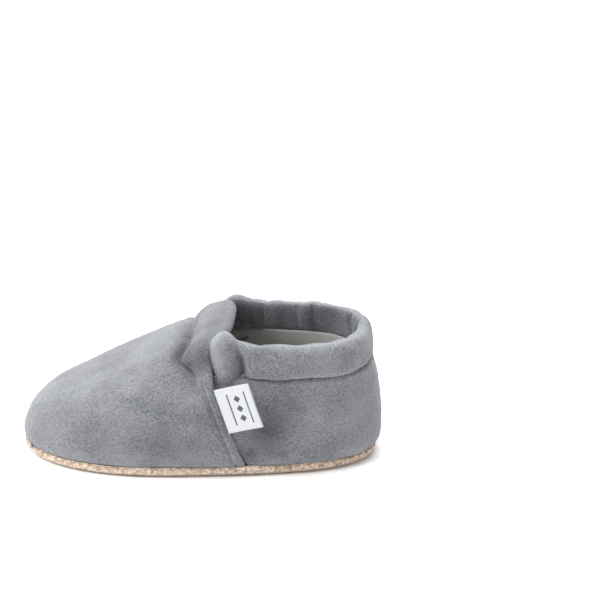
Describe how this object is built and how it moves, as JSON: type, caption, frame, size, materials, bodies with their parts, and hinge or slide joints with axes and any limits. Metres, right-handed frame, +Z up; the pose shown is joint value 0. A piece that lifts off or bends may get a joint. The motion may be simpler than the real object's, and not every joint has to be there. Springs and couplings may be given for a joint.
{
  "type": "baby bootie",
  "caption": "Soft-sole baby bootie with a lapped toe panel, rolled elastic collar, cotton lining and a folded side label.",
  "frame": {"origin": "on the ground under the middle of the bootie's box", "axes": "+Z up, -Y to the toe, +X to the side with the label"},
  "size_m": [0.0647, 0.1287, 0.0521],
  "materials": {
    "velour": "short pile cloth, matt with a soft sheen",
    "grip_cloth": "coarse linen-like cloth with a dotted grip face",
    "wadding": "soft needled wadding",
    "lining_cotton": "fine ribbed cotton",
    "elastic": "flat woven elastic",
    "label_satin": "woven satin ribbon",
    "sole_thread": "spun sewing thread",
    "panel_thread": "spun sewing thread"
  },
  "bodies": {
    "bootie": {"outsole": "grip_cloth", "sole_padding": "wadding", "insole": "lining_cotton", "toe_panel": "velour", "toe_lining": "lining_cotton", "heel_panel": "velour", "heel_lining": "lining_cotton", "instep_casing": "velour", "instep_elastic": "elastic", "heel_collar": "velour", "collar_elastic": "elastic", "sole_seam_stitches": "sole_thread", "edge_stitches": "panel_thread", "collar_stitches": "panel_thread", "instep_stitches": "panel_thread"},
    "label": {"side_label": "label_satin"}
  },
  "joints": [
    {"name": "label_flap", "type": "hinge", "parent": "bootie", "child": "label", "pos_m": [0.0283, 0.0082, 0.0255], "axis": [0.1142, 0.3301, -0.937], "range_deg": [0, 110], "stiffness_Nm_per_rad": 0.0002}
  ]
}
